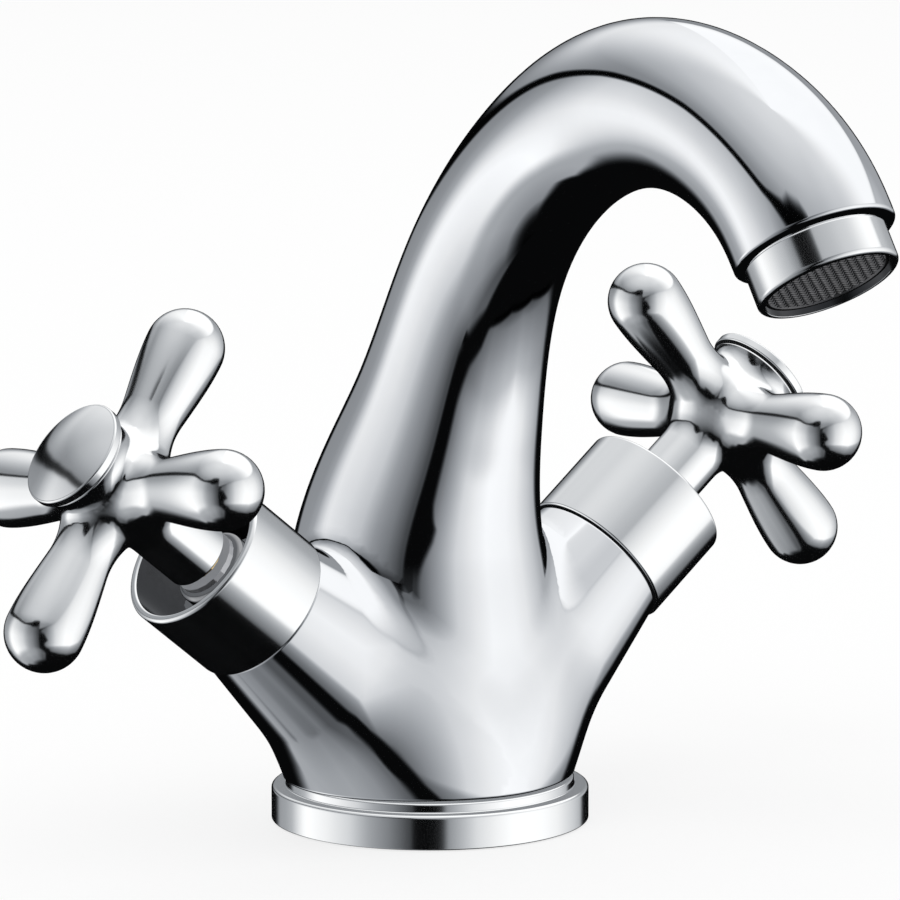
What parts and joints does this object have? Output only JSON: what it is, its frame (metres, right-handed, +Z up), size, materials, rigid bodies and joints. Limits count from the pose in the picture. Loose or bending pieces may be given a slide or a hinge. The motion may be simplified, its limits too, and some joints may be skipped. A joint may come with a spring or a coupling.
{
  "type": "single-hole basin mixer",
  "caption": "Chrome single-hole basin mixer: one casting with a fixed arched spout, two inclined valves with cross handles, base ring and aerator.",
  "frame": {"origin": "centre of the casting's underside, on the deck", "axes": "+Z up, -Y towards the user along the spout, -X hot valve, +X cold valve"},
  "size_m": [0.1821, 0.1527, 0.1465],
  "materials": {
    "chrome_body": "polished chrome plate on cast brass",
    "chrome_trim": "polished chrome plate on turned brass",
    "chrome_handle": "polished chrome plate on forged brass",
    "plain_brass": "machined brass",
    "spring_steel": "plain stainless steel",
    "black_rubber": "black nitrile rubber",
    "white_ceramic": "lapped white alumina ceramic",
    "dark_plastic": "dark grey acetal"
  },
  "bodies": {
    "mixer_body": {"body_casting": "chrome_body", "base_ring": "chrome_body", "base_seal": "black_rubber", "aerator_housing": "chrome_trim", "aerator_screen": "dark_plastic", "aerator_sleeve": "dark_plastic", "aerator_jet_plate": "dark_plastic", "aerator_seal": "black_rubber", "hot_seat_seal": "black_rubber", "hot_fixed_disc": "white_ceramic", "hot_bonnet": "plain_brass", "hot_bonnet_ring": "black_rubber", "hot_thrust_washer": "dark_plastic", "hot_shroud": "chrome_trim", "cold_seat_seal": "black_rubber", "cold_fixed_disc": "white_ceramic", "cold_bonnet": "plain_brass", "cold_bonnet_ring": "black_rubber", "cold_thrust_washer": "dark_plastic", "cold_shroud": "chrome_trim"},
    "hot_handle_body": {"hot_moving_disc": "white_ceramic", "hot_spindle": "plain_brass", "hot_spindle_ring_lower": "black_rubber", "hot_spindle_ring_upper": "black_rubber", "hot_clip": "spring_steel", "hot_handle": "chrome_handle", "hot_handle_screw": "spring_steel", "hot_cap": "chrome_trim", "hot_cap_ring": "black_rubber"},
    "cold_handle_body": {"cold_moving_disc": "white_ceramic", "cold_spindle": "plain_brass", "cold_spindle_ring_lower": "black_rubber", "cold_spindle_ring_upper": "black_rubber", "cold_clip": "spring_steel", "cold_handle": "chrome_handle", "cold_handle_screw": "spring_steel", "cold_cap": "chrome_trim", "cold_cap_ring": "black_rubber"}
  },
  "joints": [
    {"name": "hot_turn", "type": "hinge", "parent": "mixer_body", "child": "hot_handle_body", "pos_m": [-0.06654, 0, 0.06534], "axis": [-0.7837, 0, 0.6211], "range_deg": [0, 90]},
    {"name": "cold_turn", "type": "hinge", "parent": "mixer_body", "child": "cold_handle_body", "pos_m": [0.06654, 0, 0.06534], "axis": [0.7837, 0, 0.6211], "range_deg": [-90, 0]}
  ]
}
